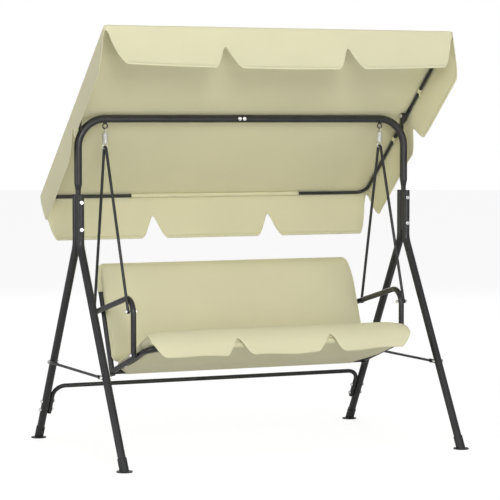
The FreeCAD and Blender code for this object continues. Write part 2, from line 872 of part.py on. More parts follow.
# The seat pad's side profile: forward along the seat, then up from the rails' centre plane.
seat_profile = [
    fixed(26, 15.2),
    fixed(27, 40),
    fixed(60, 47),
    fixed(230, 56),
    fixed(340, 70),
    fixed(420, 81),
    fixed(455, 80),
    fixed(482, 66),
    fixed(500, 42),
    fixed(505, 18),
    fixed(496, 15.2),
]
side_profile = Rotation(Vector(0, -1, 0), Vector(0, 0, 1), Vector(-1, 0, 0), "XYZ")
# The profile lies in the body's X-Y plane, turned so that its X runs to the front and its Y up.
node(
    padded_outline(
        "seat_pad", seat_profile, size("pad_width"), SEAT_FRAME.multiply(Placement(Vector(), side_profile)), "XY_Plane"
    ),
    "seat_pad",
)

# The back pad's side profile is a panel in front of the back frame that folds over its top bar.
inside_top = BACK_BAR_REACH + 13.6
back_profile = [
    fixed(13.7, 48),
    fixed(58, 48),
    fixed(68, 80),
    fixed(74, 180),
    fixed(77, 310),
    fixed(73, 430),
    fixed(60, 485),
    fixed(34, inside_top + 3),
    fixed(12, inside_top + 5),
    fixed(-14, inside_top + 5),
    fixed(-18, 500),
    fixed(-17, 350),
    fixed(-13.7, 350),
    fixed(-13.7, inside_top),
    fixed(13.7, inside_top),
]
node(
    padded_outline(
        "back_pad",
        back_profile,
        size("back_pad_width"),
        BACK_FRAME.multiply(Placement(Vector(), side_profile)),
        "XY_Plane",
    ),
    "back_pad",
)


def skirt_outline(width, depth, inset, notch, notch_centres, notch_half):
    """A hanging skirt with rounded lobes between inverted-V notches: top edge on the X axis, hanging down."""
    corners = [(-width / 2, Size(-0.01, "-0.01")), (-width / 2 + inset, -depth)]
    for centre in notch_centres:
        corners += [(centre - notch_half, -depth), (centre, notch - depth), (centre + notch_half, -depth)]
    corners += [(width / 2 - inset, -depth), (width / 2, Size(-0.01, "-0.01"))]
    return corners


def skirt(name, corners, place):
    node(padded_outline(name, corners, size("cloth"), place), name)


seat_skirt_top = SEAT_FRAME.multiply(placed((0, -(FRONT_BAR_REACH + 38), 30)))
seat_notches = (-size("seat_notch_x"), size("seat_notch_x"))
skirt(
    "seat_valance",
    skirt_outline(
        size("seat_skirt_width"),
        size("seat_skirt_depth"),
        Size(34, "34"),
        size("seat_skirt_notch"),
        seat_notches,
        Size(52, "52"),
    ),
    seat_skirt_top.multiply(Placement(Vector(), turn((1, 0, 0), 16))),
)

# ---------------------------------------------------------------- canopy

CANOPY_TILT = 41.5
PIVOT_Z = 1513
# The pivot bolt lies below the plane of the canopy rods, so that the roof clears the bracket and the knob.
ROD_LIFT = 7.5
CANOPY = placed((0, 0, PIVOT_Z), turn((1, 0, 0), -CANOPY_TILT))
ROD_GAP = 4
ROOF_CLEARANCE = 9.6
FRONT_ROD_Y = -(ROD_GAP + amount_of("front_rod_run") + amount_of("rod_bend"))
REAR_ROD_Y = ROD_GAP + amount_of("rear_rod_run") + amount_of("rod_bend")

for end_name, end, run in (("front", -1, "front_rod_run"), ("rear", 1, "rear_rod_run")):
    steps = [
        ("run", size(run)),
        ("bend", size("rod_bend"), QUARTER, -1),
        ("run", size("rod_cross")),
        ("bend", size("rod_bend"), QUARTER, -1),
        ("run", size(run)),
    ]
    start = placed((-amount_of("rod_x"), end * ROD_GAP, ROD_LIFT), turn((1, 0, 0), -90 * end))
    name = f"canopy_rod_{end_name}"
    node(bent_tube(name, steps, size("rod_radius"), size("rod_bore"), CANOPY.multiply(start)), name)

BRACKET_X = 808
for side_name, side in SIDES.items():
    name = f"canopy_pivot_{side_name}"
    length = amount_of("pivot_sleeve_length")
    start = CANOPY.multiply(placed((side * amount_of("rod_x"), -length / 2, ROD_LIFT), ALONG_Y))
    outer = cylinder(name + "_sleeve", size("pivot_sleeve_radius"), size("pivot_sleeve_length"), start)
    bore = cylinder(
        name + "_bore", size("pivot_sleeve_bore"), size("pivot_sleeve_length") + 2, start.multiply(placed((0, 0, -1)))
    )
    lug_x = side * (amount_of("rod_x") - 3)
    lug = cylinder(
        name + "_lug",
        size("lug_radius"),
        size("lug_length"),
        CANOPY.multiply(placed((lug_x, 0, 0), facing((-side, 0, 0)))),
    )
    thread = cylinder(
        name + "_thread",
        size("stud_hole"),
        size("stud_hole_depth"),
        CANOPY.multiply(placed((lug_x - side * (amount_of("lug_length") + 1), 0, 0), facing((side, 0, 0)))),
    )
    waste = fuse(name + "_waste", [bore, thread])
    node(cut(name, fuse(name + "_blank", [outer, lug]), waste), name)

# A plate stands off the outside of each beam corner and carries the canopy's pivot bolt.
for side_name, side in SIDES.items():
    name = f"canopy_bracket_{side_name}"
    thickness = amount_of("bracket_thickness")
    half = amount_of("bracket_half_width")
    plate_x = side * BRACKET_X - thickness / 2
    plate = box(
        name + "_plate",
        size("bracket_thickness"),
        size("bracket_half_width") * 2,
        size("bracket_reach"),
        placed((plate_x, -half, PIVOT_Z - amount_of("bracket_reach"))),
    )
    eye = cylinder(
        name + "_eye", size("bracket_half_width"), size("bracket_thickness"), placed((plate_x, 0, PIVOT_Z), ALONG_X)
    )
    hole = cylinder(
        name + "_hole", size("stud_hole"), Size(20, "20"), placed((plate_x - 5, 0, PIVOT_Z), ALONG_X)
    )
    wall = doc.addObject("Part::Torus", name + "_corner_space")
    wall.setExpression("Radius1", "sizes.corner_radius")
    wall.setExpression("Radius2", "sizes.main_radius + 0.05")
    wall.Placement = placed(
        (side * amount_of("beam_run"), 0, amount_of("beam_height") - amount_of("corner_radius")), ALONG_Y
    )
    waste = fuse(name + "_waste", [hole, wall])
    node(cut(name, fuse(name + "_blank", [plate, eye]), waste), name)

# The pivot bolt's head is inboard of the plate, and the knob clamps the canopy's lug from between the two.
PIVOT_GAP = 0.3
pivot_bolts = []
for side_name, side in SIDES.items():
    name = f"pivot_bolt_{side_name}"
    inner_face = side * (BRACKET_X - amount_of("bracket_thickness") / 2 - PIVOT_GAP)
    inward = facing((-side, 0, 0))
    shank_end = inner_face + side * (amount_of("stud_length") - 1)
    head = hexagon(
        name + "_head",
        size("pivot_head_width") * 1.1547,
        size("pivot_head_height"),
        placed((inner_face, 0, PIVOT_Z), inward),
    )
    shank = cylinder(
        name + "_shank", size("pivot_bolt_radius"), size("stud_length"), placed((shank_end, 0, PIVOT_Z), inward)
    )
    pivot_bolts.append(fuse(name, [head, shank]))
group("pivot_bolts", pivot_bolts)

for side_name, side in SIDES.items():
    name = f"tilt_knob_{side_name}"
    outer_face = side * (BRACKET_X + amount_of("bracket_thickness") / 2 + PIVOT_GAP)
    outward = facing((side, 0, 0))
    grip = cylinder(name + "_grip", size("knob_radius"), size("knob_thickness"), placed((outer_face, 0, PIVOT_Z), outward))
    hole = cylinder(
        name + "_hole",
        size("stud_hole"),
        size("knob_thickness") + 2,
        placed((outer_face - side, 0, PIVOT_Z), outward),
    )
    node(cut(name, grip, hole), name)

roof_low = ROD_LIFT + ROOF_CLEARANCE
roof = box(
    "canopy_roof",
    size("roof_width"),
    size("roof_length"),
    size("cloth"),
    CANOPY.multiply(
        placed(
            (-amount_of("roof_width") / 2, (FRONT_ROD_Y + REAR_ROD_Y - amount_of("roof_length")) / 2, roof_low)
        )
    ),
)
node(roof, "canopy_roof")

skirt_notches = (-size("skirt_notch_x"), size("skirt_notch_x"))
NOTCH_HALF = Size(80, "80")
ROOF_FRONT = (FRONT_ROD_Y + REAR_ROD_Y - amount_of("roof_length")) / 2
ROOF_REAR = ROOF_FRONT + amount_of("roof_length")
FRONT_LEAN = 16.3
REAR_LEAN = 25.8
front_place = CANOPY.multiply(placed((0, ROOF_FRONT + 0.5, roof_low - 0.6), turn((1, 0, 0), FRONT_LEAN)))
rear_place = CANOPY.multiply(placed((0, ROOF_REAR - 1.8, roof_low - 0.6), turn((1, 0, 0), REAR_LEAN)))
skirt(
    "canopy_valance_front",
    skirt_outline(
        size("roof_width") - 8, size("skirt_depth"), size("skirt_inset"), size("skirt_notch"), skirt_notches, NOTCH_HALF
    ),
    front_place,
)
skirt(
    "canopy_valance_rear",
    skirt_outline(
        size("roof_width") - 8,
        size("rear_skirt_depth"),
        size("skirt_inset"),
        size("skirt_notch"),
        skirt_notches,
        NOTCH_HALF,
    ),
    rear_place,
)
for side_name, side in SIDES.items():
    name = f"canopy_valance_{side_name}"
    hang = turn((0, 0, 1), 90)
    place = CANOPY.multiply(
        placed((side * (amount_of("roof_width") / 2 + 1.4), (FRONT_ROD_Y + REAR_ROD_Y) / 2, roof_low + 1.8), hang)
    )
    skirt(
        name,
        skirt_outline(
            size("roof_length") - 10,
            size("skirt_depth"),
            Size(60, "60"),
            size("skirt_notch"),
            (Size(20, "20"),),
            NOTCH_HALF,
        ),
        place,
    )

pocket_start = CANOPY.multiply(placed((-400, REAR_ROD_Y, ROD_LIFT), ALONG_X))
node(
    pipe_between("canopy_rear_pocket", size("tie_radius"), size("rod_radius") + 0.2, size("pocket_length"), pocket_start),
    "canopy_rear_pocket",
)

ties = []
for side_name, side in SIDES.items():
    for end_name, end in ENDS.items():
        start = placed((side * amount_of("rod_x"), end * 170 - amount_of("tie_width") / 2, ROD_LIFT), ALONG_Y)
        ties.append(
            pipe_between(
                f"canopy_tie_{end_name}_{side_name}",
                size("tie_radius"),
                size("rod_radius") + 0.2,
                size("tie_width"),
                CANOPY.multiply(start),
            )
        )
group("canopy_ties", ties)

# ---------------------------------------------------------------- checks and export

doc.recompute()
for obj in doc.Objects:
    faults = [word for word in obj.State if word in ("Invalid", "Error")]
    if faults:
        raise RuntimeError(f"{obj.Name} is {faults}")
for piece in NODES:
    if piece.Shape.isNull() or not piece.Shape.isValid():
        raise RuntimeError(f"{piece.Label} has no valid shape")
    if not piece.Shape.Solids:
        raise RuntimeError(f"{piece.Label} has no solid")

os.makedirs("parts", exist_ok=True)
for piece in NODES:
    piece.Shape.exportStep(os.path.join("parts", piece.Label + ".step"))
    extent = piece.Shape.optimalBoundingBox()
    low, high = extent.ZMin, extent.ZMax
    print(f"{piece.Label:24s} solids {len(piece.Shape.Solids)}  volume {piece.Shape.Volume / 1000:9.1f} cm3  "
          f"z {low:7.1f} to {high:7.1f}")
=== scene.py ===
import json
import math

import bmesh
import bpy
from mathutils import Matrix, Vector
from mathutils.bvhtree import BVHTree


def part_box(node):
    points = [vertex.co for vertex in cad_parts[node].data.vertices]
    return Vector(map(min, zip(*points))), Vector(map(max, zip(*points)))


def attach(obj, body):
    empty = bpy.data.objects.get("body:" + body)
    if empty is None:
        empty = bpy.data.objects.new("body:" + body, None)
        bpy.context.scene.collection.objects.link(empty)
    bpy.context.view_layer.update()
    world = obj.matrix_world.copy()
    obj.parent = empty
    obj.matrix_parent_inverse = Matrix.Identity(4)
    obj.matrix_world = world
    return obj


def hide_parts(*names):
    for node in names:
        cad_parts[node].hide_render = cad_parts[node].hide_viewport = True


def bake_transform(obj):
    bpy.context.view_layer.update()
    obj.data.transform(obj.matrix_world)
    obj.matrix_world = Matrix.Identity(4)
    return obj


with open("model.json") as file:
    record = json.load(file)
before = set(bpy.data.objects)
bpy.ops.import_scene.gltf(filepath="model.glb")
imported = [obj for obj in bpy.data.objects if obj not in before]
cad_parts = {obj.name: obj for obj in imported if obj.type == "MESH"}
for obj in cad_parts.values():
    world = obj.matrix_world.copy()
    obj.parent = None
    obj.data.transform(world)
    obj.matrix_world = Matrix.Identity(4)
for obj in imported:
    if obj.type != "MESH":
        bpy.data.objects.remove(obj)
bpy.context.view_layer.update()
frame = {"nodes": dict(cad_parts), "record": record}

scene = bpy.context.scene

# ---------------------------------------------------------------- camera

camera_data = bpy.data.cameras.new("camera")
camera_data.lens = 159.5
camera_data.sensor_width = 36
camera = bpy.data.objects.new("camera", camera_data)
camera.location = (-4.1526, -9.3101, 1.4902)
camera.rotation_euler = (math.pi / 2 - 0.0582, 0, -0.4213)
scene.collection.objects.link(camera)
scene.camera = camera

# ---------------------------------------------------------------- node materials


class Tree:
    """A short way to write a node tree."""

    def __init__(self, name):
        self.material = bpy.data.materials.new(name)
        self.material.use_nodes = True
        self.tree = self.material.node_tree
        self.shader = next(n for n in self.tree.nodes if n.type == "BSDF_PRINCIPLED")

    def add(self, kind, inputs=None, **settings):
        made = self.tree.nodes.new("ShaderNode" + kind)
        for key, value in settings.items():
            setattr(made, key, value)
        for key, value in (inputs or {}).items():
            self.put(made.inputs[key], value)
        return made

    def put(self, socket, value):
        """Links a socket to an output, or sets it to a plain value."""
        if isinstance(value, bpy.types.NodeSocket):
            self.tree.links.new(value, socket)
        else:
            socket.default_value = value

    def feed(self, name, value):
        self.put(self.shader.inputs[name], value)

    def position(self):
        return self.add("TexCoord").outputs["Object"]

    def noise(self, scale, detail=3.0, roughness=0.5):
        return self.add(
            "TexNoise", {"Vector": self.position(), "Scale": scale, "Detail": detail, "Roughness": roughness}
        ).outputs[0]

    def ramp(self, value, low, high, at=(0.3, 0.7)):
        node = self.add("ValToRGB", {"Fac": value})
        node.color_ramp.elements[0].position = at[0]
        node.color_ramp.elements[1].position = at[1]
        node.color_ramp.elements[0].color = (*low, 1)
        node.color_ramp.elements[1].color = (*high, 1)
        return node.outputs[0]

    def span(self, value, low, high):
        return self.add("MapRange", {"Value": value, "To Min": low, "To Max": high}).outputs[0]

    def math(self, operation, a, b=0.0):
        return self.add("Math", {0: a, 1: b}, operation=operation).outputs[0]

    def bump(self, strength, distance, height, **inputs):
        return self.add("Bump", {"Strength": strength, "Distance": distance, "Height": height, **inputs}).outputs[0]

    def seen_by_camera(self, seen, otherwise):
        """Gives the surface one shader for the camera's own rays and another for all other light."""
        camera_ray = self.add("LightPath").outputs["Is Camera Ray"]
        mix = self.add("MixShader", {0: camera_ray, 1: otherwise.outputs[0], 2: seen.outputs[0]})
        surface = next(n for n in self.tree.nodes if n.type == "OUTPUT_MATERIAL").inputs["Surface"]
        self.tree.links.new(mix.outputs[0], surface)


FINE_RELIEF = 0.0002  # depth of the hard finishes' surface texture


def shades(colour, spread):
    """A colour a little darker and a little lighter."""
    return tuple(c * (1 - spread) for c in colour), tuple(min(1.0, c * (1 + spread)) for c in colour)


YARN_PITCH = 0.0011


def cloth_material(name, colour, warp):
    """Plain-woven cloth: yarns along X and along warp, with slubs, faint shading and a soft sheen."""
    tree = Tree(name)
    position = tree.position()
    threads = []
    for yarn_axis in ((1, 0, 0), warp):
        run = tree.add("VectorMath", {0: position, 1: yarn_axis}, operation="DOT_PRODUCT").outputs["Value"]
        wave = tree.math("SINE", tree.math("MULTIPLY", run, 2 * math.pi / YARN_PITCH))
        threads.append(tree.math("ABSOLUTE", wave))
    weave = tree.math("MAXIMUM", threads[0], threads[1])
    slubs = tree.noise(900.0, 2.0)
    tone = tree.ramp(tree.noise(2.6, 2.0), *shades(colour, 0.025))
    yarn = tree.span(weave, 0.94, 1.03)
    grey = tree.add("CombineColor", {0: yarn, 1: yarn, 2: yarn}).outputs[0]
    mixed = tree.add("Mix", data_type="RGBA", blend_type="MULTIPLY", inputs={"Factor": 1.0, "A": tone, "B": grey})
    height = tree.math("ADD", tree.math("MULTIPLY", weave, 0.7), tree.math("MULTIPLY", slubs, 0.3))
    fine = tree.bump(0.35, 0.0003, height)
    tree.feed("Base Color", next(s for s in mixed.outputs if s.type == "RGBA"))
    tree.feed("Roughness", tree.span(slubs, 0.78, 0.93))
    tree.feed("Specular IOR Level", 0.25)
    tree.feed("Sheen Weight", 0.12)
    tree.feed("Sheen Roughness", 0.5)
    tree.feed("Normal", tree.bump(0.25, 0.004, tree.noise(9.0, 2.0), Normal=fine))
    return tree.material


def powder_material(name, colour):
    """Satin powder coat: fine orange peel, faint dust and slightly polished streaks."""
    tree = Tree(name)
    tree.feed("Base Color", tree.ramp(tree.noise(14.0, 4.0), *shades(colour, 0.18)))
    tree.feed("Roughness", tree.span(tree.noise(38.0, 3.0), 0.3, 0.46))
    tree.feed("Normal", tree.bump(0.18, FINE_RELIEF, tree.noise(850.0, 2.0)))
    tree.feed("Coat Weight", 0.12)
    tree.feed("Coat Roughness", 0.3)
    return tree.material


def zinc_material(name, colour):
    """Bright zinc plating with a fine drawn grain and faint clouding."""
    tree = Tree(name)
    tree.feed("Base Color", tree.ramp(tree.noise(120.0, 3.0), *shades(colour, 0.10)))
    tree.feed("Metallic", 0.8)
    tree.feed("Roughness", tree.span(tree.noise(420.0, 3.0), 0.2, 0.4))
    tree.feed("Normal", tree.bump(0.12, FINE_RELIEF, tree.noise(1600.0)))
    return tree.material


def plastic_material(name, colour):
    """Moulded black plastic with a spark-eroded texture."""
    tree = Tree(name)
    tree.feed("Base Color", tree.ramp(tree.noise(60.0, 3.0), *shades(colour, 0.15)))
    tree.feed("Roughness", tree.span(tree.noise(200.0, 3.0), 0.45, 0.6))
    tree.feed("Normal", tree.bump(0.3, FINE_RELIEF, tree.noise(1300.0)))
    return tree.material


CREAM = (0.735, 0.705, 0.475)
SEAT_SLOPE = math.radians(17.9)
BACK_RECLINE = math.radians(21.8)
CANOPY_TILT = math.radians(41.5)
canopy_cloth = cloth_material("canopy_cloth", CREAM, (0, math.cos(CANOPY_TILT), -math.sin(CANOPY_TILT)))
seat_cloth = cloth_material("seat_cloth", CREAM, (0, 0.70, 0.71))
back_cloth = cloth_material("back_cloth", CREAM, (0, math.sin(BACK_RECLINE), math.cos(BACK_RECLINE)))
FINISHES = {
    "charcoal_tube": powder_material("charcoal_powder_coat", (0.020, 0.020, 0.022)),
    "bright_zinc": zinc_material("zinc_plating", (0.92, 0.92, 0.90)),
    "black_plastic": plastic_material("black_moulding", (0.022, 0.022, 0.024)),
    "cream_cloth": canopy_cloth,
    "pad_cloth": seat_cloth,
}
for part in frame["record"]["subparts"]:
    mesh = frame["nodes"][part["node"]].data
    mesh.materials.clear()
    mesh.materials.append(FINISHES[part["material_slot"]])

# ---------------------------------------------------------------- frames and mesh helpers

PIVOT_Z = 1.513  # the canopy's pivot axis, and the origin of its frame
ROD_LIFT = 0.0075  # the canopy rods' centres above that frame's plane
CORNER_Y, CORNER_Z = 0.060, 0.356  # the seat's rear bar, and the origin of the seat's and the back's frames


def canopy_point(x, y, z):
    c, s = math.cos(CANOPY_TILT), math.sin(CANOPY_TILT)
    return Vector((x, y * c + z * s, PIVOT_Z - y * s + z * c))


def bench_frame(angle):
    """A function from (x, ahead, up) in a frame leaning back by angle to the row frame."""
    c, s = math.cos(angle), math.sin(angle)

    def point(x, ahead, up):
        return Vector((x, CORNER_Y - ahead * c + up * s, CORNER_Z + ahead * s + up * c))

    return point


seat_point = bench_frame(SEAT_SLOPE)
back_point = bench_frame(BACK_RECLINE)


def mesh_object(name, points, faces, material):
    mesh = bpy.data.meshes.new(name)
    mesh.from_pydata([tuple(p) for p in points], [], faces)
    mesh.validate()
    mesh.materials.append(material)
    obj = bpy.data.objects.new(name, mesh)
    scene.collection.objects.link(obj)
    for polygon in mesh.polygons:
        polygon.use_smooth = True
    return obj


def face_outward(obj):
    made = bmesh.new()
    made.from_mesh(obj.data)
    bmesh.ops.recalc_face_normals(made, faces=made.faces)
    made.to_mesh(obj.data)
    made.free()


def apply_modifiers(obj):
    graph = bpy.context.evaluated_depsgraph_get()
    mesh = bpy.data.meshes.new_from_object(obj.evaluated_get(graph))
    materials = list(obj.data.materials)
    obj.modifiers.clear()
    obj.data = mesh
    if not mesh.materials:
        for material in materials:
            mesh.materials.append(material)
    for polygon in mesh.polygons:
        polygon.use_smooth = True


def thicken(obj, thickness):
    solid = obj.modifiers.new("thickness", "SOLIDIFY")
    solid.thickness = thickness
    solid.offset = 0
    solid.use_even_offset = True
    apply_modifiers(obj)


def strip_faces(rows, columns, closed=False, looped=False):
    """Quads of a grid stored row by row. Closed joins each row's ends, looped the last row to the first."""
    faces = []
    for r in range(rows if looped else rows - 1):
        low, high = r * columns, (r + 1) % rows * columns
        for c in range(columns if closed else columns - 1):
            d = (c + 1) % columns
            faces.append((low + c, low + d, high + d, high + c))
    return faces


def cap(row, columns):
    """One face over a closed row of a grid."""
    return tuple(row * columns + c for c in range(columns))


def grid_object(name, rows, material, closed=False):
    """An open sheet from rows of points."""
    points = [p for row in rows for p in row]
    return mesh_object(name, points, strip_faces(len(rows), len(rows[0]), closed), material)


def closed_object(name, rows, material, capped=(), looped=False):
    """A form from closed rows of points, with a face over each row named in capped."""
    count, columns = len(rows), len(rows[0])
    faces = strip_faces(count, columns, closed=True, looped=looped)
    faces += [cap(row, columns) for row in capped]
    obj = mesh_object(name, [p for row in rows for p in row], faces, material)
    face_outward(obj)
    return obj


WIRE_SIDES = 10


def tube_along(name, path, radius, material, closed=False):
    """A round wire that follows a dense run of points."""
    rows = []
    count = len(path)
    normal = None
    for i, p in enumerate(path):
        after = path[(i + 1) % count] if closed or i < count - 1 else p
        before = path[i - 1] if closed or i else p
        ahead = (after - before).normalized()
        if normal is None:
            normal = ahead.orthogonal().normalized()
        normal = (normal - ahead * normal.dot(ahead)).normalized()
        side = ahead.cross(normal)
        turns = [2 * math.pi * k / WIRE_SIDES for k in range(WIRE_SIDES)]
        rows.append([p + (normal * math.cos(a) + side * math.sin(a)) * radius for a in turns])
    return closed_object(name, rows, material, capped=() if closed else (0, count - 1), looped=closed)


def join(name, objects):
    made = bmesh.new()
    for obj in objects:
        made.from_mesh(obj.data)
    mesh = bpy.data.meshes.new(name)
    made.to_mesh(mesh)
    made.free()
    mesh.materials.append(objects[0].data.materials[0])
    for obj in objects:
        bpy.data.objects.remove(obj)
    joined = bpy.data.objects.new(name, mesh)
    scene.collection.objects.link(joined)
    for polygon in mesh.polygons:
        polygon.use_smooth = True
    return joined


def stations(low, high, coarse, fine, centres, reach):
    """Positions from low to high, closer together near each centre."""
    found = [low]
    while found[-1] < high - 1e-6:
        near = min(abs(found[-1] + coarse * 0.5 - c) for c in centres)
        step = fine if near < reach else coarse
        found.append(min(high, found[-1] + step))
    if found[-1] - found[-2] < fine * 0.5:
        del found[-2]
    return found


# ---------------------------------------------------------------- canopy cover

ROD_X = 0.8375  # the side rods
FRONT_Y, REAR_Y = -0.557, 0.574  # the front and rear rods
WRAP = 0.0108  # the cover's radius round the rods
ROOF_TOP = ROD_LIFT + WRAP
ROOF_SAG = 0.006
COVER_CLOTH = 0.0014
COVER_NOTCHES = (-0.298, 0.298)
SIDE_NOTCH = -0.012
NOTCH_HALF = 0.068
FRONT_DEPTH, FRONT_RISE, FRONT_SHALLOW, FRONT_END = 0.192, 0.020, 0.082, 0.074
REAR_DEPTH, REAR_SHALLOW, REAR_END = 0.205, 0.096, 0.055
SIDE_DEPTH, SIDE_SHALLOW, SIDE_END = 0.166, 0.080, 0.085
CORNER_DEPTH = 0.010
ARC_STEPS, SKIRT_STEPS = 6, 16
TIP_ROUND = 0.16  # how blunt a notch's tip is


def eased(u):
    """0 to 1: steep at first, then rounding over into a lobe's lower edge."""
    return 1 - max(0.0, 1 - u) ** 1.75


def lobed_depth(s, start, stop, full, shallow, notches, notch_half, end_half, end_depth, wave=0.0):
    """How far a skirt hangs at s: rounded lobes between inverted-V notches, tapering at both ends."""
    depth = full
    for centre in notches:
        u = abs(s - centre) / notch_half
        u = (math.hypot(u, TIP_ROUND) - TIP_ROUND) / (math.hypot(1, TIP_ROUND) - TIP_ROUND)
        depth = min(depth, shallow + (full - shallow) * eased(u))
    for end in (start, stop):
        depth = min(depth, end_depth + (full - end_depth) * eased(abs(s - end) / end_half))
    return depth + wave * (depth / full) ** 4 * math.sin(s * 21.0 + 0.6)


def hang_front(length):
    """World offset of the front skirt: nearly vertical first, then flaring forward."""
    steps = 12
    y = z = 0.0
    for k in range(steps):
        part = length * (k + 0.5) / steps
        angle = math.radians(10 + 26 * min(1.0, part / 0.171))
        y -= math.sin(angle) * length / steps
        z -= math.cos(angle) * length / steps
    return y, z


def world_to_canopy(y, z):
    c, s = math.cos(CANOPY_TILT), math.sin(CANOPY_TILT)
    return y * c - z * s, y * s + z * c


def skirt_direction(which, y):
    """The fold's angle round the rod, and a function from hanging length to a local offset."""
    if which == "front":
        return math.radians(90 + 29), lambda l: (0.0, *world_to_canopy(*hang_front(l)))
    if which == "rear":
        lean = math.radians(17.5)

        def rear(l):
            return (0.0, *world_to_canopy(-math.sin(lean) * l, -math.cos(lean) * l))

        return math.radians(66), rear
    side = -1 if which == "left" else 1

    def hang_side(l):
        ahead = max(0.0, min(1.0, (0.10 - y) / 0.22))
        flare = (0.03 + 0.07 * ahead) * l + (0.10 + 0.25 * ahead) * l * l
        return (side * flare, 0.36 * l, -0.925 * l)

    return math.radians(84), hang_side


x_stations = stations(-ROD_X, ROD_X, 0.018, 0.005, [-ROD_X, *COVER_NOTCHES, ROD_X], 0.085)
y_stations = stations(FRONT_Y, REAR_Y, 0.018, 0.005, [FRONT_Y, SIDE_NOTCH, REAR_Y], 0.085)


def roof_height(x, y):
    across = 1 - (x / ROD_X) ** 2
    middle = (FRONT_Y + REAR_Y) / 2
    along = 1 - ((y - middle) / (REAR_Y - middle)) ** 2
    return ROOF_TOP - ROOF_SAG * max(0.0, across) ** 0.6 * max(0.0, along) ** 0.6


nx, ny = len(x_stations), len(y_stations)
cover_points = [canopy_point(x, y, roof_height(x, y)) for y in y_stations for x in x_stations]
cover_faces = strip_faces(ny, nx)

# The roof's edge in order: front, right, rear, left.
edge = [(c, "front") for c in range(nx)]
edge += [(r * nx + nx - 1, "right") for r in range(1, ny)]
edge += [((ny - 1) * nx + c, "rear") for c in range(nx - 2, -1, -1)]
edge += [(r * nx, "left") for r in range(ny - 2, 0, -1)]


def skirt_column(index, which):
    """The points below one point of the roof's edge."""
    x = x_stations[index % nx]
    y = y_stations[index // nx]
    if which == "front":
        full, shallow, end_half = FRONT_DEPTH - FRONT_RISE * (x / 0.8) ** 2, FRONT_SHALLOW, FRONT_END
    elif which == "rear":
        full, shallow, end_half = REAR_DEPTH, REAR_SHALLOW, REAR_END
    else:
        full, shallow, end_half = SIDE_DEPTH, SIDE_SHALLOW, SIDE_END
    if which in ("front", "rear"):
        depth = lobed_depth(x, -ROD_X, ROD_X, full, shallow, COVER_NOTCHES, NOTCH_HALF, end_half, CORNER_DEPTH)
        out = (0.0, -1.0) if which == "front" else (0.0, 1.0)
    else:
        depth = lobed_depth(y, FRONT_Y, REAR_Y, full, shallow, (SIDE_NOTCH,), NOTCH_HALF, end_half, CORNER_DEPTH)
        out = (-1.0, 0.0) if which == "left" else (1.0, 0.0)
    if abs(abs(x) - ROD_X) < 1e-6 and y in (y_stations[0], y_stations[-1]):
        out = ((1 if x > 0 else -1) * 0.707, (1 if y > 0 else -1) * 0.707)
        which = "front" if y < 0 else "rear"
    fold, hang = skirt_direction(which, y)
    column = []
    for k in range(1, ARC_STEPS + 1):
        a = fold * k / ARC_STEPS
        reach = WRAP * math.sin(a)
        column.append((x + out[0] * reach, y + out[1] * reach, ROD_LIFT + WRAP * math.cos(a)))
    last = column[-1]
    for k in range(1, SKIRT_STEPS + 1):
        column.append(tuple(a + b for a, b in zip(last, hang(depth * k / SKIRT_STEPS))))
    return [canopy_point(*p) for p in column]


skirt_columns = [skirt_column(index, which) for index, which in edge]
first_skirt = len(cover_points)
depth_rows = len(skirt_columns[0])
for row in range(depth_rows):
    cover_points += [column[row] for column in skirt_columns]
count = len(edge)
for row in range(depth_rows):
    for k in range(count):
        n = (k + 1) % count
        if row == 0:
            above, above_next = edge[k][0], edge[n][0]
        else:
            above = first_skirt + (row - 1) * count + k
            above_next = first_skirt + (row - 1) * count + n
        cover_faces.append((above, first_skirt + row * count + k, first_skirt + row * count + n, above_next))
cover = mesh_object("canopy_cover", cover_points, cover_faces, canopy_cloth)
face_outward(cover)
thicken(cover, COVER_CLOTH)


HEM_WIDTH = 0.013
HEM_LIFT = 0.0009  # how far each face of the hem stands off the sheet's middle
HEM_DROP = 0.0012  # how far its fold reaches below the sheet's edge


def hem_columns():
    """The last stretch of each skirt column, in three even points."""
    found = []
    for column in skirt_columns:
        top, bottom = column[-3], column[-1]
        away = (top - bottom).normalized()
        reach = min(HEM_WIDTH, (column[ARC_STEPS - 1] - bottom).length * 0.6)
        found.append([bottom + away * reach, bottom + away * reach / 2, bottom])
    return found


def hem_band(name, columns, material):
    """A folded hem round the skirts' lower edge, standing a little proud on both faces."""
    bands = []
    for facing in (1, -1):
        rows = []
        for place in range(len(columns[0])):
            row = []
            for k, column in enumerate(columns):
                down = (column[-1] - column[-2]).normalized()
                along = (columns[(k + 1) % len(columns)][-1] - columns[k - 1][-1]).normalized()
                normal = down.cross(along).normalized()
                drop = down * HEM_DROP if place == len(column) - 1 else Vector()
                row.append(column[place] + normal * HEM_LIFT * facing + drop)
            rows.append(row)
        bands.append(rows)
    return closed_object(name, bands[0] + bands[1][::-1], material, looped=True)


cover_hem = hem_band("canopy_hem", hem_columns(), canopy_cloth)
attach(cover, "canopy")
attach(cover_hem, "canopy")
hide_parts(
    "canopy_roof", "canopy_valance_front", "canopy_valance_rear", "canopy_valance_left", "canopy_valance_right"
)

# ---------------------------------------------------------------- pockets and ties on the canopy rods


POCKET_SIDES = 24
PUCKER, PUCKERS = 0.0006, 46  # the cloth's small gathers along a rod: height, and radians per metre
BEND = 0.050  # the front rod's bend radius
POCKET_TAIL = 0.030  # how far the front pocket runs past each bend


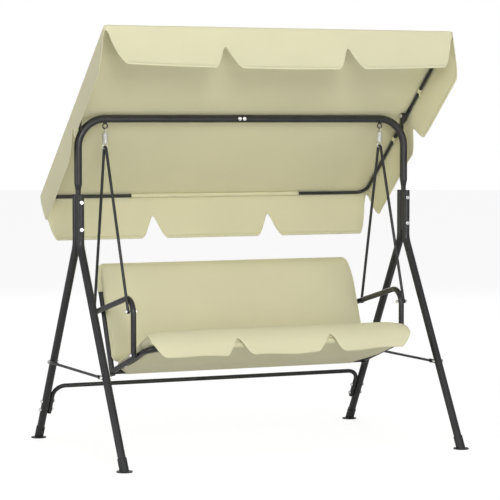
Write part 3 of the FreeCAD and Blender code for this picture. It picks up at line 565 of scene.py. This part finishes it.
def front_rod_line():
    """Points and outward directions along the front rod, round both of its bends."""
    found = [(-ROD_X, FRONT_Y + BEND + POCKET_TAIL * (4 - k) / 4, -1.0, 0.0) for k in range(5)]
    for k in range(1, 10):
        a = math.pi / 2 * k / 10
        c, s = math.cos(a), math.sin(a)
        found.append((BEND - ROD_X - BEND * c, FRONT_Y + BEND - BEND * s, -c, -s))
    straight = ROD_X - BEND
    middle = [(-straight + 2 * straight * k / 80, FRONT_Y, 0.0, -1.0) for k in range(81)]
    return found + middle + [(-x, y, -out_x, out_y) for x, y, out_x, out_y in reversed(found)]


def rod_pocket(name, line, radius, start, turn, zero_y, thickness):
    """Cloth round a rod from the angle start (0 is up, growing outward) on by turn, in degrees."""
    rows = []
    for x, y, out_x, out_y in line:
        row = []
        for m in range(POCKET_SIDES + 1):
            share = m / POCKET_SIDES
            a = math.radians(start + turn * share)
            r = radius + PUCKER * math.sin((x + y - zero_y) * PUCKERS + 2 * a) * math.sin(math.pi * share)
            reach = r * math.sin(a)
            row.append(canopy_point(x + out_x * reach, y + out_y * reach, ROD_LIFT + r * math.cos(a)))
        rows.append(row)
    pocket = grid_object(name, rows, canopy_cloth)
    thicken(pocket, thickness)
    return pocket


front_pocket = rod_pocket("canopy_front_pocket", front_rod_line(), 0.0094, 100, 272, 0.0, 0.0008)
REAR_LOW, REAR_HIGH, REAR_STEPS = -0.40, 0.47, 43
rear_line = [(REAR_LOW + (REAR_HIGH - REAR_LOW) * k / REAR_STEPS, REAR_Y, 0.0, -1.0) for k in range(REAR_STEPS + 1)]
rear_pocket = rod_pocket("canopy_rear_pocket_cloth", rear_line, 0.0092, -40, 370, REAR_Y, 0.0010)
for pocket in (front_pocket, rear_pocket):
    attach(pocket, "canopy")
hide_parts("canopy_rear_pocket")


TIE_RADIUS, TIE_BULGE, TIE_HALF, TIE_CLOTH = 0.0086, 0.0012, 0.011, 0.0012


def tie_band(x, y):
    """One tie: a band round a side rod and two short tails under the rod."""
    rows = []
    for k in range(9):
        along = y - TIE_HALF + 2 * TIE_HALF * k / 8
        r = TIE_RADIUS + TIE_BULGE * math.sin(math.pi * k / 8)
        turns = [2 * math.pi * m / 28 for m in range(28)]
        rows.append([canopy_point(x + r * math.sin(a), along, ROD_LIFT + r * math.cos(a)) for a in turns])
    pieces = [grid_object("band", rows, canopy_cloth, closed=True)]
    inward = -1 if x > 0 else 1
    for turn_side in (-1, 1):
        tail_rows = []
        for k in range(8):
            drop = 0.0105 + 0.015 * k / 7
            sway = turn_side * (0.002 + 0.009 * (k / 7) ** 1.4)
            across = [x + inward * 0.003 + w for w in (-0.004, 0.0, 0.004)]
            tail_rows.append([canopy_point(tail_x, y + sway, ROD_LIFT - drop) for tail_x in across])
        pieces.append(grid_object("tail", tail_rows, canopy_cloth))
    for piece in pieces:
        thicken(piece, TIE_CLOTH)
    return pieces


tie_parts = []
for tie_x in (-ROD_X, ROD_X):
    for tie_y in (-0.170, 0.170):
        tie_parts += tie_band(tie_x, tie_y)
ties = join("canopy_tie_bands", tie_parts)
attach(ties, "canopy")
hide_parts("canopy_ties")

# ---------------------------------------------------------------- padded pieces


PAD_VOXEL = 0.007
PAD_MOST_MOVE = 0.004
PAD_PRESSURE = 4.0
PAD_FRAMES = 20
PAD_COLUMNS = 64
BACK_BASE = 0.0155  # the back cushion's rear face
SEAT_BASE = 0.0175  # the seat cushion's underside


def swell(obj):
    """Remeshes a closed form, blows it up as cloth, and limits how far any point moves."""
    remesh = obj.modifiers.new("remesh", "REMESH")
    remesh.mode = "VOXEL"
    remesh.voxel_size = PAD_VOXEL
    apply_modifiers(obj)
    rest = [v.co.copy() for v in obj.data.vertices]
    cloth = obj.modifiers.new("cloth", "CLOTH")
    cloth.settings.use_pressure = True
    cloth.settings.uniform_pressure_force = PAD_PRESSURE
    cloth.settings.effector_weights.gravity = 0.0
    cloth.settings.quality = 4
    cloth.settings.tension_stiffness = 20
    cloth.settings.compression_stiffness = 20
    cloth.settings.bending_stiffness = 2.0
    cloth.point_cache.frame_start = 1
    cloth.point_cache.frame_end = PAD_FRAMES
    for number in range(1, PAD_FRAMES + 1):
        scene.frame_set(number)
    graph = bpy.context.evaluated_depsgraph_get()
    blown = bpy.data.meshes.new_from_object(obj.evaluated_get(graph))
    moved = [v.co.copy() for v in blown.vertices]
    bpy.data.meshes.remove(blown)
    obj.modifiers.clear()
    scene.frame_set(1)
    for vertex, before, after in zip(obj.data.vertices, rest, moved):
        move = after - before
        if move.length > PAD_MOST_MOVE:
            move *= PAD_MOST_MOVE / move.length
        vertex.co = before + move
    smooth = obj.modifiers.new("smooth", "SMOOTH")
    smooth.factor = 0.5
    smooth.iterations = 4
    apply_modifiers(obj)


def middle_across(profile, index):
    """The point halfway from a profile point to the nearest one on the profile's other side."""
    a, b = profile[index]
    count = len(profile)
    best, found = None, (a, b)
    for k, (other_a, other_b) in enumerate(profile):
        gap = math.hypot(other_a - a, other_b - b)
        apart = abs(k - index)
        if gap < 1e-6 or min(apart, count - apart) < count // 5:
            continue
        if best is None or gap < best:
            best, found = gap, ((a + other_a) / 2, (b + other_b) / 2)
    return found


def crowned_panel(name, half, profile, crown, point_of, material, edge_round):
    """A closed pad from a side profile, shaped along its length by crown and drawn in at its two ends."""
    spine = [middle_across(profile, k) for k in range(len(profile))]
    flat_half = half - edge_round
    ends = [-half, -half + edge_round * 0.15, -half + edge_round * 0.5, -flat_half]
    inner = [-flat_half + 2 * flat_half * k / PAD_COLUMNS for k in range(1, PAD_COLUMNS)]
    rows = []
    for x in ends + inner + [-e for e in reversed(ends)]:
        left = max(0.0, (abs(x) - flat_half) / edge_round)
        pull = 1 - math.sqrt(max(0.0, 1 - left * left))
        places = [
            crown(x, a + (mid_a - a) * pull, b + (mid_b - b) * pull) for (a, b), (mid_a, mid_b) in zip(profile, spine)
        ]
        rows.append([point_of(*place) for place in places])
    return closed_object(name, rows, material, capped=(0, len(rows) - 1))


def spline(p0, p1, p2, p3, t):
    """A point between p1 and p2 on the smooth curve through all four (Catmull-Rom)."""
    return tuple(
        0.5 * (2 * b + (c - a) * t + (2 * a - 5 * b + 4 * c - d) * t * t + (3 * b - a - 3 * c + d) * t ** 3)
        for a, b, c, d in zip(p0, p1, p2, p3)
    )


def smooth_loop(corners, per=6):
    """A closed smooth curve through corner points."""
    count = len(corners)
    return [
        spline(*(corners[(i + k - 1) % count] for k in range(4)), step / per)
        for i in range(count)
        for step in range(per)
    ]


PIPING_RADIUS = 0.0028


def piping(name, pad, half, profile, crown, point_of, material):
    """A piped seam round both ends of a pad, lying on its swollen surface."""
    mesh = pad.data
    surface = BVHTree.FromPolygons([v.co for v in mesh.vertices], [p.vertices for p in mesh.polygons])
    loops = []
    for side in (-1, 1):
        path = [surface.find_nearest(point_of(*crown(side * half, a, b)))[0] for a, b in profile]
        count = len(path)
        for _ in range(3):
            path = [(path[k - 1] + path[k] * 2 + path[(k + 1) % count]) / 4 for k in range(count)]
        loops.append(tube_along(name, path, PIPING_RADIUS, material, closed=True))
    seam = join(name, loops)
    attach(seam, "bench")


seat_loop = smooth_loop(
    [
        (0.020, 0.0195),
        (0.017, 0.030),
        (0.026, 0.0415),
        (0.060, 0.0460),
        (0.150, 0.0490),
        (0.250, 0.053),
        (0.340, 0.0655),
        (0.400, 0.0755),
        (0.440, 0.0765),
        (0.470, 0.062),
        (0.492, 0.036),
        (0.503, 0.016),
        (0.499, 0.004),
        (0.4975, 0.0155),
        (0.485, 0.0200),
        (0.420, 0.0180),
        (0.300, 0.0175),
        (0.150, 0.0175),
    ]
)


SEAT_PAD_HALF = 0.630


def seat_crown(x, ahead, up):
    """The seat cushion thins a little towards its two ends."""
    near_end = max(0.0, 1 - (SEAT_PAD_HALF - abs(x)) / 0.11)
    if up > SEAT_BASE:
        up = SEAT_BASE + (up - SEAT_BASE) * (1 - 0.20 * near_end ** 2)
    return x, ahead, up


seat_pad = crowned_panel("seat_cushion", SEAT_PAD_HALF, seat_loop, seat_crown, seat_point, seat_cloth, 0.022)
swell(seat_pad)
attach(seat_pad, "bench")
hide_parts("seat_pad")
piping("seat_piping", seat_pad, SEAT_PAD_HALF - 0.009, seat_loop, seat_crown, seat_point, seat_cloth)

back_loop = smooth_loop(
    [
        (0.0155, 0.042),
        (0.022, 0.039),
        (0.046, 0.052),
        (0.060, 0.074),
        (0.067, 0.140),
        (0.0705, 0.230),
        (0.0705, 0.330),
        (0.064, 0.428),
        (0.050, 0.482),
        (0.031, 0.504),
        (0.0165, 0.505),
        (0.0155, 0.480),
        (0.0155, 0.330),
        (0.0155, 0.200),
    ]
)
BACK_PAD_HALF = 0.645


def back_crown(x, ahead, up):
    """The back cushion thins over its outer fifth and narrows a little towards the top."""
    near_end = max(0.0, 1 - (BACK_PAD_HALF - abs(x)) / 0.19)
    thinner = 1 - 0.50 * near_end ** 1.6
    narrower = 1 - 0.028 * max(0.0, (up - 0.36) / 0.15) ** 2
    return x * narrower, BACK_BASE + (ahead - BACK_BASE) * thinner, up


back_pad = crowned_panel("back_cushion", BACK_PAD_HALF, back_loop, back_crown, back_point, back_cloth, 0.016)
swell(back_pad)
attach(back_pad, "bench")
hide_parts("back_pad")
piping("back_piping", back_pad, BACK_PAD_HALF - 0.007, back_loop, back_crown, back_point, back_cloth)

# The sleeve that hangs over the top of the back frame.
RAIL_X = 0.638
SLEEVE_R = 0.0142
SLEEVE_LOW, SLEEVE_BEND = 0.377, 0.500  # its lower edge, and where it starts to close over the rail
END_SIDES, FLAT_STEPS = 20, 40


def sleeve_ring(half, radius, up):
    """A flat oval round both posts of the back frame at one height."""
    ring = []
    for facing in (1, -1):
        for k in range(END_SIDES + 1):
            a = math.pi * k / END_SIDES
            x = half + radius * math.sin(a)
            ring.append(back_point(facing * x, facing * radius * math.cos(a), up))
        for k in range(1, FLAT_STEPS):
            ring.append(back_point(facing * (half - 2 * half * k / FLAT_STEPS), -facing * radius, up))
    return ring


def sleeve_half(up):
    """The sleeve's half width follows the bend of the back frame's top corners."""
    return RAIL_X - 0.024 * max(0.0, (up - 0.41) / 0.103) ** 2


sleeve_rows = []
for k in range(13):
    up = SLEEVE_LOW + (SLEEVE_BEND - SLEEVE_LOW) * k / 12
    sleeve_rows.append(sleeve_ring(sleeve_half(up), SLEEVE_R, up))
for k in range(1, 10):
    a = math.pi / 2 * k / 10
    up = SLEEVE_BEND + SLEEVE_R * math.sin(a)
    narrow = 0.008 * (1 - math.cos(a))
    sleeve_rows.append(sleeve_ring(sleeve_half(up) - narrow, SLEEVE_R * math.cos(a) + 0.0002, up))
sleeve = closed_object("back_sleeve", sleeve_rows, back_cloth, capped=(len(sleeve_rows) - 1,))
thicken(sleeve, 0.0012)
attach(sleeve, "bench")

# ---------------------------------------------------------------- seat sling

REACH = 0.4834  # from the rear bar to the front bar
BAR_WRAP = 0.0138
POCKET_TURN = 310  # degrees of cloth round each bar
HALF_REAR, HALF_PANEL, HALF_FRONT = 0.568, 0.626, 0.558


def sling_profile():
    """Side profile: pocket on the rear bar, panel under the seat, pocket on the front bar."""
    pockets = {}
    for zone, centre, start in (("rear", 0.0, -40), ("front", REACH, 270)):
        angles = [math.radians(start + POCKET_TURN * k / 21) for k in range(22)]
        pockets[zone] = [(centre + BAR_WRAP * math.cos(a), BAR_WRAP * math.sin(a), zone) for a in angles]
    shares = [k / 24 for k in range(1, 24)]
    panel = [(REACH * t, -BAR_WRAP - 0.010 * math.sin(math.pi * t) ** 2, "panel") for t in shares]
    return pockets["rear"] + panel + pockets["front"]


sling_grid = []
for ahead, up, zone in sling_profile():
    half = {"rear": HALF_REAR, "panel": HALF_PANEL, "front": HALF_FRONT}[zone]
    edge_lift = 0.0
    if zone == "panel":
        for gap, narrow in ((ahead - 0.01, HALF_REAR), (REACH - 0.01 - ahead, HALF_FRONT)):
            half = min(half, narrow + (HALF_PANEL - narrow) * max(0.0, min(1.0, gap / 0.075)) ** 0.7)
        edge_lift = 0.010 * (half - HALF_FRONT) / (HALF_PANEL - HALF_FRONT)
    across = [2 * k / 64 - 1 for k in range(65)]
    sling_grid.append([seat_point(half * c, ahead, up + edge_lift * abs(c) ** 8) for c in across])
sling = grid_object("seat_sling_cloth", sling_grid, seat_cloth)
thicken(sling, 0.0014)
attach(sling, "bench")
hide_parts("seat_sling")

# ---------------------------------------------------------------- seat skirt

SKIRT_PATH = [
    (0.4360, 0.0835),
    (0.4560, 0.0785),
    (0.4790, 0.0620),
    (0.4980, 0.0395),
    (0.5110, 0.0150),
    (0.5165, -0.0080),
    (0.5150, -0.0340),
    (0.5170, -0.0540),
    (0.5185, -0.0680),
    (0.5195, -0.0850),
    (0.5200, -0.1000),
]


SKIRT_LENGTHS = [0.0]
for here, after in zip(SKIRT_PATH, SKIRT_PATH[1:]):
    SKIRT_LENGTHS.append(SKIRT_LENGTHS[-1] + math.dist(here, after))


def along_path(length):
    """A point of the skirt's path, smooth through its corners."""
    last = len(SKIRT_PATH) - 1
    k = next((k for k in range(last) if length <= SKIRT_LENGTHS[k + 1]), last - 1)
    t = (length - SKIRT_LENGTHS[k]) / (SKIRT_LENGTHS[k + 1] - SKIRT_LENGTHS[k])
    return spline(*(SKIRT_PATH[max(0, min(last, k + step))] for step in (-1, 0, 1, 2)), t)


SEAT_SKIRT_HALF = 0.635
SEAT_NOTCHES = (-0.2275, 0.2275)
SKIRT_DEPTH_STEPS = 18
seat_columns = []
for x in stations(-SEAT_SKIRT_HALF, SEAT_SKIRT_HALF, 0.014, 0.004, [-0.6, *SEAT_NOTCHES, 0.6], 0.08):
    full = 0.180 - 0.010 * (x / SEAT_SKIRT_HALF) ** 2
    depth = lobed_depth(
        x, -SEAT_SKIRT_HALF, SEAT_SKIRT_HALF, full, 0.097, SEAT_NOTCHES, 0.072, 0.050, 0.105, wave=0.0035
    )
    column = []
    for k in range(SKIRT_DEPTH_STEPS + 1):
        length = depth * k / SKIRT_DEPTH_STEPS
        ahead, up = along_path(length)
        narrow = 1 - 0.022 * max(0.0, (length - 0.08) / 0.10) ** 1.5
        column.append(seat_point(*seat_crown(x * narrow, ahead, up)))
    seat_columns.append(column)
seat_skirt = grid_object("seat_skirt", list(zip(*seat_columns)), seat_cloth)
thicken(seat_skirt, 0.0016)
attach(seat_skirt, "bench")
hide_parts("seat_valance")

# ---------------------------------------------------------------- springs


SPRING_X = 0.690
SPRING_WIRE = 0.0017
HOOK_RADIUS = 0.0115
COIL_RADIUS = 0.0124
COIL_TURNS, COIL_STEPS = 13, 260
HOOK_STEPS = 32


def spring_path(x, top, bottom):
    """One wire: top hook ring, barrel coil and bottom hook ring."""
    coil_top = top - SPRING_WIRE - 2 * HOOK_RADIUS
    coil_bottom = bottom + SPRING_WIRE + 2 * HOOK_RADIUS
    path = []
    for k in range(HOOK_STEPS + 1):
        a = math.radians(-250 + 340 * k / HOOK_STEPS)
        z = coil_top + HOOK_RADIUS - HOOK_RADIUS * math.cos(a)
        path.append(Vector((x + 0.0004 * k / HOOK_STEPS, HOOK_RADIUS * math.sin(a), z)))
    for k in range(COIL_STEPS + 1):
        t = k / COIL_STEPS
        a = 2 * math.pi * COIL_TURNS * t + math.pi / 2
        r = COIL_RADIUS * min(1.0, 0.70 + 6.0 * min(t, 1 - t))
        z = coil_top - 0.001 + (coil_bottom - coil_top + 0.002) * t
        path.append(Vector((x + r * math.cos(a), r * math.sin(a), z)))
    for k in range(HOOK_STEPS + 1):
        a = math.radians(20 + 320 * k / HOOK_STEPS)
        z = coil_bottom - HOOK_RADIUS + HOOK_RADIUS * math.cos(a)
        path.append(Vector((x + HOOK_RADIUS * math.sin(a), 0.0, z)))
    return path


for side_name, x in (("left", -SPRING_X), ("right", SPRING_X)):
    low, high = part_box(f"spring_{side_name}")
    path = spring_path(x, high.z, low.z)
    spring = tube_along(f"spring_wire_{side_name}", path, SPRING_WIRE, FINISHES["bright_zinc"])
    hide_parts(f"spring_{side_name}")
    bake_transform(spring)

# ---------------------------------------------------------------- floor, light and world

FLOOR_HALF, FLOOR_Z = 40, -0.0005
DOME_RADIUS = 38
WHITE = (1, 1, 1, 1)

floor_corners = [(x * FLOOR_HALF, y * FLOOR_HALF, FLOOR_Z) for x, y in ((-1, -1), (1, -1), (1, 1), (-1, 1))]
floor_mesh = bpy.data.meshes.new("floor")
floor_mesh.from_pydata(floor_corners, [], [(0, 1, 2, 3)])
floor = bpy.data.objects.new("floor", floor_mesh)
scene.collection.objects.link(floor)
floor_tree = Tree("pale_floor")
diffuse = floor_tree.add("BsdfDiffuse", {"Color": (0.30, 0.30, 0.30, 1)})
glow = floor_tree.add("Emission", {"Color": WHITE, "Strength": 0.82})
shaded_glow = floor_tree.add("AddShader", {0: diffuse.outputs[0], 1: glow.outputs[0]})
floor_tree.seen_by_camera(shaded_glow, floor_tree.add("BsdfDiffuse", {"Color": (0.78, 0.78, 0.77, 1)}))
floor_mesh.materials.append(floor_tree.material)

# A white dome that only the camera sees, so the floor fades into it.
dome_made = bmesh.new()
bmesh.ops.create_uvsphere(dome_made, u_segments=48, v_segments=24, radius=DOME_RADIUS)
dome_mesh = bpy.data.meshes.new("backdrop")
dome_made.to_mesh(dome_mesh)
dome_made.free()
dome = bpy.data.objects.new("backdrop", dome_mesh)
scene.collection.objects.link(dome)
dome_tree = Tree("white_backdrop")
dome_tree.seen_by_camera(
    dome_tree.add("Emission", {"Color": WHITE, "Strength": 1.0}), dome_tree.add("BsdfTransparent")
)
dome_mesh.materials.append(dome_tree.material)

world = bpy.data.worlds.new("studio")
world.use_nodes = True
scene.world = world
background = next(n for n in world.node_tree.nodes if n.type == "BACKGROUND")
background.inputs["Color"].default_value = WHITE
background.inputs["Strength"].default_value = 0.40


def area_light(name, place, aim, width, height, watts):
    data = bpy.data.lights.new(name, "AREA")
    data.shape = "RECTANGLE"
    data.size, data.size_y = width, height
    data.energy = watts
    lamp = bpy.data.objects.new(name, data)
    lamp.location = place
    lamp.rotation_euler = (Vector(aim) - Vector(place)).to_track_quat("-Z", "Y").to_euler()
    scene.collection.objects.link(lamp)


area_light("key", (-2.1, -6.73, 3.4), (0, 0, 1.0), 1.9, 1.9, 196)
area_light("fill", (-6.0, -1.5, 1.6), (0, 0, 1.1), 3.0, 2.4, 60)
area_light("top", (0.4, -1.2, 9.0), (0, 0, 0.6), 5.0, 5.0, 90)
area_light("low", (1.2, -6.5, 0.7), (0, 0, 0.9), 2.2, 1.2, 42)
area_light("rear", (2.6, 7.5, 4.2), (0, 0, 1.0), 3.0, 3.0, 110)
scene.view_settings.view_transform = "Standard"
